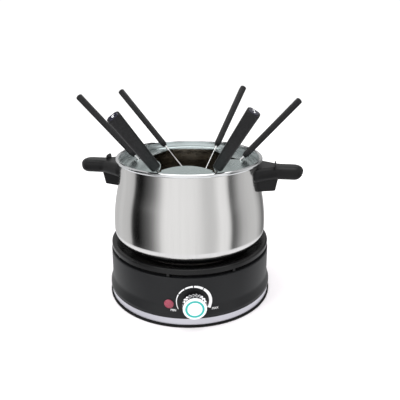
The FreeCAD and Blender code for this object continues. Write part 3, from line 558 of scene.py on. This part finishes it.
def knurl_tree(material, core_r, first, length):
    """Rows of four-sided points set round a cylinder, each row half a step on."""
    shaper = Shaper("diamond_knurl")
    shaper.size("Points Round", "NodeSocketInt", knurl_round)
    shaper.size("Rows", "NodeSocketInt", knurl_rows)
    shaper.size("Core Radius", "NodeSocketFloat", core_r)
    shaper.size("First Row", "NodeSocketFloat", first)
    shaper.size("Row Step", "NodeSocketFloat", length / (knurl_rows - 1))
    shaper.size("Point Height", "NodeSocketFloat", knurl_height)
    given = shaper.open()
    count = shaper.math("MULTIPLY", given["Points Round"], given["Rows"])
    index = shaper.node("GeometryNodeInputIndex", {}, {})
    row = shaper.math("FLOOR", shaper.math("DIVIDE", index, given["Points Round"]))
    stagger = shaper.math("MULTIPLY", shaper.math("MODULO", row, 2.0), 0.5)
    step = shaper.math("DIVIDE", math.tau, given["Points Round"])
    turn = shaper.math("MULTIPLY", shaper.math("ADD", index, stagger), step)
    place = shaper.node("ShaderNodeCombineXYZ", {}, {
        0: shaper.math("MULTIPLY", shaper.math("COSINE", turn), given["Core Radius"]),
        1: shaper.math("MULTIPLY", shaper.math("SINE", turn), given["Core Radius"]),
        2: shaper.math("ADD", given["First Row"],
                       shaper.math("MULTIPLY", row, given["Row Step"]))})
    points = shaper.node("GeometryNodePoints", {}, {"Count": count, "Position": place})
    cone = shaper.node("GeometryNodeMeshCone", {"fill_type": "NGON"}, {
        "Vertices": 4, "Radius Top": point_top, "Radius Bottom": 1.0, "Depth": 1.0})
    half_round = shaper.math("MULTIPLY", shaper.math("MULTIPLY", step, given["Core Radius"]),
                             point_width)
    half_long = shaper.math("MULTIPLY", given["Row Step"], point_length)
    size = shaper.node("ShaderNodeCombineXYZ", {}, {0: half_long, 1: half_round,
                                                    2: given["Point Height"]})
    sized = shaper.node("GeometryNodeTransform", {}, {"Geometry": cone, "Scale": size})
    lying = shaper.node("GeometryNodeTransform", {}, {
        "Geometry": sized, "Rotation": (0.0, math.radians(90), 0.0)})
    heading = shaper.node("ShaderNodeCombineXYZ", {}, {2: turn})
    set_round = shaper.node("GeometryNodeInstanceOnPoints", {}, {
        "Points": points, "Instance": lying, "Rotation": heading})
    joined = shaper.tree.nodes.new("GeometryNodeJoinGeometry")
    shaper.tree.links.new(set_round, joined.inputs[0])
    shaper.tree.links.new(given["Geometry"], joined.inputs[0])
    shaper.close(joined.outputs[0], material)
    return shaper


def knurled_chrome():
    made = Finish("knurled_chrome")
    at = made.place()
    haze = made.noise(at, 420.0, 3.0)
    x, y, z = at.split()
    rx, rz = x - knob_centre.x, z - knob_centre.z
    radius = (rx * rx + rz * rz) ** 0.5
    # Painted light: the knurl's crests are painted bright as a highlight and its valleys dark as
    # shade, though the chrome itself is one colour.
    painted_knurl_light = radius.ease(skirt_r - knurl_height * 0.8, skirt_r - knurl_height * 0.15)
    colour = made.blend(painted_knurl_light, shade(34, 34, 38), shade(242, 243, 246))
    return made.coat(colour=colour, metal=1.0, rough=0.16 + 0.12 * haze,
                     normal=made.bump(haze, 0.00003, 0.2))


def white_cap():
    made = Finish("knob_white_plastic")
    at = made.place()
    fine = made.noise(at, 1600.0, 2.0)
    touch = made.noise(at, 130.0, 3.0)
    colour = made.blend(touch, shade(238, 239, 240), shade(248, 248, 248))
    return made.coat(colour=colour, rough=0.26 + 0.08 * fine, depth=0.05,
                     normal=made.bump(fine, 0.00002, 0.2))


def teal_ring():
    made = Finish("knob_teal_ring")
    at = made.place()
    fine = made.noise(at, 1500.0, 3.0)
    colour = made.blend(fine, shade(14, 160, 152), shade(36, 182, 176))
    return made.coat(colour=colour, rough=0.28 + 0.1 * fine)


chrome = knurled_chrome()
depth = skirt_back - skirt_front
core_r = skirt_r - knurl_height
skirt_core = revolve("knob_skirt", [
    (skirt_bore, 0.0), (core_r - skirt_edge, 0.0), (core_r, skirt_edge),
    (core_r, depth - skirt_edge), (skirt_r - collar_in, depth - skirt_edge * 0.8),
    (skirt_r - collar_in, depth - collar_land), (skirt_r - collar_chamfer, depth),
    (skirt_bore, depth)])
knurl = knurl_tree(chrome, core_r + knurl_height / 2 - knurl_sink, knurl_first,
                   depth - knurl_margin)
skirt = knurl.apply(skirt_core, "knob_skirt")
skirt.transform(Matrix.Translation((knob_centre.x, skirt_back, knob_centre.z)) @
                Matrix.Rotation(math.radians(90), 4, "X"))
skirt_piece = mesh_piece("knob_skirt_knurled", skirt, chrome, "knob",
                         smooth=False)
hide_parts("knob_body")
white = white_cap()
dress(white, "knob_cap", "control_shaft")
dress(teal_ring(), "knob_ring")


# ---------------------------------------------------------------- pot
# The pot is drawn and spun from one steel blank, with its rim rolled over into a bead.  The
# outside is brushed upright to a satin, the inside is left as spun, and an aluminium disc is
# brazed under its floor to spread the heat.

rim_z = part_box("pot_shell")[1].z
bead_r = 0.0024
painted_reflection_depth = 0.0075


def pot_steel():
    made = Finish("pot_brushed_steel")
    at = made.place()
    x, y, z = at.split()
    radius = (x * x + y * y) ** 0.5
    facing = made.node("ShaderNodeNewGeometry", {}, {}, out="Normal")
    nx, ny, _ = facing.split()
    outward = ((x * nx + y * ny) / (radius + 0.0001)).ease(-0.12, 0.12)
    top = z.ease(rim_z - bead_r * 2.0, rim_z - bead_r * 1.6)
    # Painted reflection: a band of the inner wall just under the rim is given a brighter steel
    # colour, standing in for a bright reflection there.
    lit = z.ease(rim_z - painted_reflection_depth - 0.002, rim_z - painted_reflection_depth)
    cx, cy = x / (radius + 0.0001), y / (radius + 0.0001)
    upright = made.noise(made.vector(cx * 420.0, cy * 420.0, z * 26.0), 1.0, 5.0, 0.7)
    broad = made.noise(made.vector(cx * 16.0, cy * 16.0, z * 3.0), 1.0, 3.0)
    spun = made.noise(made.vector(cx * 3.0, cy * 3.0, (z + radius) * 3400.0), 1.0, 4.0, 0.65)
    satin = made.blend(upright * 0.6 + broad * 0.4, shade(212, 211, 210), shade(240, 239, 238))
    # The inside is coloured a darker, browner steel than the outside satin.
    inner = made.blend(spun, shade(142, 136, 126), shade(176, 169, 157))
    # This brighter steel colours the rolled bead, and inside the pot it is the painted reflection
    # band.
    bright = made.blend(spun, shade(222, 224, 226), shade(242, 243, 244))
    colour = made.blend(outward, made.blend(lit, inner, bright), satin)
    colour = made.blend(top, colour, bright)
    inside = (1 - outward) * (1 - lit)
    rough = 0.11 + 0.06 * upright * outward + 0.14 * spun * inside + 0.22 * lit * (1 - outward)
    lines = upright * outward + spun * inside
    return made.coat(colour=colour, metal=1.0, rough=rough * (1 - 0.5 * top),
                     normal=made.bump(lines * (1 - top), 0.00004, 0.16))


def turned_aluminium():
    made = Finish("turned_aluminium_disc")
    at = made.place()
    x, y, z = at.split()
    radius = (x * x + y * y) ** 0.5
    lines = made.noise(made.vector(radius * 5200.0, z * 4000.0, 0.0), 1.0, 3.0, 0.6)
    heat = made.noise(at, 30.0, 4.0)
    colour = made.blend(heat, shade(190, 191, 192), shade(212, 210, 204))
    return made.coat(colour=colour, metal=1.0, rough=0.32 + 0.16 * lines,
                     normal=made.bump(lines, 0.00006, 0.5))


dress(pot_steel(), "pot_shell")
dress(turned_aluminium(), "pot_base_disc")


# ---------------------------------------------------------------- side handles
# Two solid phenolic handles are each held by a long screw to a bracket that is spot-welded on
# the pot's neck.  The mouldings are black, with a slight sheen and a fine flow grain.

def phenolic():
    made = Finish("handle_phenolic")
    at = made.place()
    flow = made.noise(at, 1500.0, 4.0, 0.65)
    cloud = made.noise(at, 60.0, 3.0)
    rubbed = made.noise(at, 380.0, 4.0, 0.7).ease(0.58, 0.75)
    colour = made.blend(flow * 0.5 + cloud * 0.5, shade(11, 11, 12), shade(19, 19, 20))
    return made.coat(colour=colour, rough=0.33 + 0.12 * flow + 0.08 * rubbed, gloss=0.24,
                     normal=made.bump(flow, 0.00006, 0.4))


handle_black = phenolic()
dress(handle_black, "handle_right", "handle_left")
dress(sheet_steel, "handle_bracket_right", "handle_bracket_left")
dress(zinc, "handle_screw_right", "handle_screw_left")


# ---------------------------------------------------------------- fork guard
# A loose pressed ring of polished steel drops inside the rim.  Its edge is cut in six deep
# scallops with a round notch at each for a fork's rod, so the forks stand apart.

def guard_steel():
    made = Finish("guard_polished_steel")
    at = made.place()
    x, y, z = at.split()
    radius = (x * x + y * y) ** 0.5
    rings = made.noise(made.vector(x * 6.0, y * 6.0, radius * 1400.0), 1.0, 2.0, 0.5)
    wiped = made.noise(at, 40.0, 2.0)
    # The steel's colour carries a faint green tint.
    colour = made.blend(rings * 0.5 + wiped * 0.5, shade(182, 196, 195), shade(206, 216, 215))
    return made.coat(colour=colour, metal=1.0, rough=0.20 + 0.08 * wiped + 0.04 * rings,
                     normal=made.bump(rings, 0.00001, 0.12))


dress(guard_steel(), "fork_guard")


# ---------------------------------------------------------------- forks
# Each fork is a polished steel rod with two prongs, moulded into a flat black handle with a
# coarse grain.  A glossy plug closes the handle's end and carries the fork's own number.

fork_numbers = {1: "1", 6: "2", 2: "3", 3: "4", 4: "5", 5: "6"}
number_size = 0.0050
number_depth = 0.00008


def rod_steel():
    made = Finish("fork_polished_rod")
    at = made.place()
    drawn = made.noise(at, 900.0, 4.0, 0.6)
    colour = made.blend(drawn, shade(208, 209, 210), shade(232, 232, 231))
    return made.coat(colour=colour, metal=1.0, rough=0.14 + 0.12 * drawn,
                     normal=made.bump(drawn, 0.00002, 0.2))


def fork_grip():
    made = Finish("fork_grained_black")
    at = made.place()
    coarse = made.noise(at, 620.0, 4.0, 0.7)
    fine = made.noise(at, 2400.0, 2.0)
    colour = made.blend(coarse.ease(0.35, 0.7), shade(7, 7, 8), shade(26, 26, 28))
    return made.coat(colour=colour, rough=0.34 + 0.2 * coarse, gloss=0.30,
                     normal=made.bump(coarse * 0.8 + fine * 0.2, 0.00022, 0.7))


def end_plug():
    made = Finish("fork_end_gloss")
    at = made.place()
    swirl = made.noise(at, 200.0, 2.0)
    colour = made.blend(swirl, shade(20, 20, 30), shade(38, 37, 52))
    return made.coat(colour=colour, rough=0.16 + 0.1 * swirl,
                     normal=made.bump(swirl, 0.00004, 0.2))


dress(rod_steel(), *[f"fork_{k}_steel" for k in fork_numbers])
dress(fork_grip(), *[f"fork_{k}_handle" for k in fork_numbers])
dress(end_plug(), *[f"fork_{k}_end_plug" for k in fork_numbers])
for joint in frame["joints"]:
    if not joint["name"].endswith("_draw"):
        continue
    index = int(joint["child"].split("_")[1])
    out = Vector(joint["axis"]).normalized()
    corners = [v.co for v in part[f"fork_{index}_end_plug"].data.vertices]
    reach = max(c.dot(out) for c in corners)
    middle = sum(corners, Vector()) / len(corners)
    face_centre = middle + out * (reach - middle.dot(out))
    upward = (Vector((0, 0, 1)) - out * out.z).normalized()
    across = upward.cross(out)
    stand = Matrix((across, upward, out)).transposed().to_4x4()
    stand.translation = face_centre
    digit = lettering(fork_numbers[index], number_size, number_depth, stand)
    mesh_piece(f"fork_{index}_number", digit, ink, f"fork_{index}",
               smooth=False)


# ---------------------------------------------------------------- floor, light and camera
# The set stands on a wide pale sheet.  A round tent of lit cloth, seen only in reflections,
# gives the steel its upright bands, and one lamp overhead and two at the sides light the set.

floor_half = 6.0


def studio_floor():
    made = Finish("studio_floor")
    at = made.place()
    x, y, z = at.split()
    paper = made.noise(at, 6.0, 2.0)
    # Painted shadow: near the set the floor is painted a darker, pinker tone, easing to plain white
    # between 0.2 and 0.8 m out.
    painted_shadow_paper = made.blend(paper, (0.93, 0.905, 0.92, 1.0), (0.95, 0.925, 0.94, 1.0))
    colour = made.blend(((x * x + y * y) ** 0.5).ease(0.2, 0.8), painted_shadow_paper, (0.98, 0.98, 0.98, 1.0))
    return made.coat(colour=colour, rough=0.85, gloss=0.1)


def sheet_mesh(name, half):
    made = bmesh.new()
    bmesh.ops.create_grid(made, x_segments=8, y_segments=8, size=half)
    mesh = bpy.data.meshes.new(name)
    made.to_mesh(mesh)
    made.free()
    return mesh


floor = bpy.data.objects.new("floor", sheet_mesh("floor", floor_half))
bpy.context.scene.collection.objects.link(floor)
floor.data.materials.append(studio_floor())
floor.visible_glossy = False

tent_r = 0.42
tent_low = -0.8
tent_high = 0.75
bright_low = (-0.50, -0.30)
bright_high = (-0.16, -0.07)


def tent_cloth():
    """White cloth lit from behind, with the dark slits and grey sides of a real light tent."""
    made = Finish("tent_cloth")
    x, y, z = made.place().split()
    turn = made.node("ShaderNodeMath", {"operation": "ARCTAN2"}, {0: x, 1: 0.0 - y})
    share = turn / math.tau + 0.5

    def at(degrees):
        return degrees / 360 + 0.5

    stops = [(at(-180), 0.55), (at(-132), 0.60), (at(-114), 0.68), (at(-90), 0.60),
             (at(-86), 0.05), (at(-82), 0.01), (at(-74), 0.0), (at(-68), 0.04), (at(-57), 0.14),
             (at(-50), 0.30), (at(-45), 0.50), (at(-39), 0.82), (at(-33), 0.97), (at(-7), 0.97),
             (at(8), 0.88), (at(18), 0.70), (at(30), 0.70), (at(38), 0.96), (at(48), 0.96),
             (at(52), 0.70), (at(55), 0.12), (at(59), 0.12), (at(73), 0.50), (at(90), 0.66),
             (at(104), 0.66), (at(120), 0.35), (at(130), 0.14), (at(145), 0.45), (at(180), 0.55)]
    ramp = made.node("ShaderNodeValToRGB",
                     {"stops": [(place, (v, v, v)) for place, v in stops]}, {0: share})
    low = (1 - z.ease(*bright_high)) * z.ease(*bright_low)
    cloth = made.blend(low, ramp, (1.0, 1.0, 1.02, 1.0))
    glow = made.node("ShaderNodeEmission", {}, {"Color": cloth, "Strength": 1.0})
    made.node("ShaderNodeOutputMaterial", {}, {"Surface": glow})
    return made.material


made = bmesh.new()
bmesh.ops.create_cone(made, cap_ends=False, segments=128, radius1=tent_r, radius2=tent_r,
                      depth=tent_high - tent_low)
bmesh.ops.translate(made, verts=made.verts, vec=(0, 0, (tent_high + tent_low) / 2))
tent_mesh = bpy.data.meshes.new("tent")
made.to_mesh(tent_mesh)
made.free()
tent = bpy.data.objects.new("tent", tent_mesh)
bpy.context.scene.collection.objects.link(tent)
tent.data.materials.append(tent_cloth())
tent.visible_camera = False
tent.visible_diffuse = False
tent.visible_shadow = False
tent.visible_transmission = False


def lamp(name, where, target, size, power, colour=(1, 1, 1)):
    light = bpy.data.lights.new(name, "AREA")
    light.shape = "RECTANGLE"
    light.size, light.size_y = size
    light.energy = power
    light.color = colour
    holder = bpy.data.objects.new(name, light)
    holder.location = where
    holder.rotation_euler = (Vector(target) - Vector(where)).to_track_quat("-Z", "Y").to_euler()
    bpy.context.scene.collection.objects.link(holder)
    return holder


lamp("overhead", (0.1, 0.15, 1.6), (0, 0, 0.1), (1.4, 1.4), 10.0)
lamp("left_window", (-1.3, -0.7, 0.8), (0, 0, 0.08), (0.9, 1.1), 14.0)
lamp("right_window", (1.4, -0.6, 0.7), (0, 0, 0.08), (0.8, 1.0), 5.0)

sky = bpy.data.worlds.new("studio")
sky.use_nodes = True
sky.node_tree.nodes["Background"].inputs["Color"].default_value = (1.0, 0.995, 1.0, 1.0)
sky.node_tree.nodes["Background"].inputs["Strength"].default_value = 1.06
bpy.context.scene.world = sky
bpy.context.scene.view_settings.view_transform = "Standard"

view = bpy.data.cameras.new("view")
view.lens = 40.49
view.sensor_width = 36.0
camera = bpy.data.objects.new("view", view)
camera.location = (-0.0215, -0.5137, 0.2957)
camera.rotation_euler = (math.radians(90 - 19.65), 0.0, math.radians(-3.80))
bpy.context.scene.collection.objects.link(camera)
bpy.context.scene.camera = camera
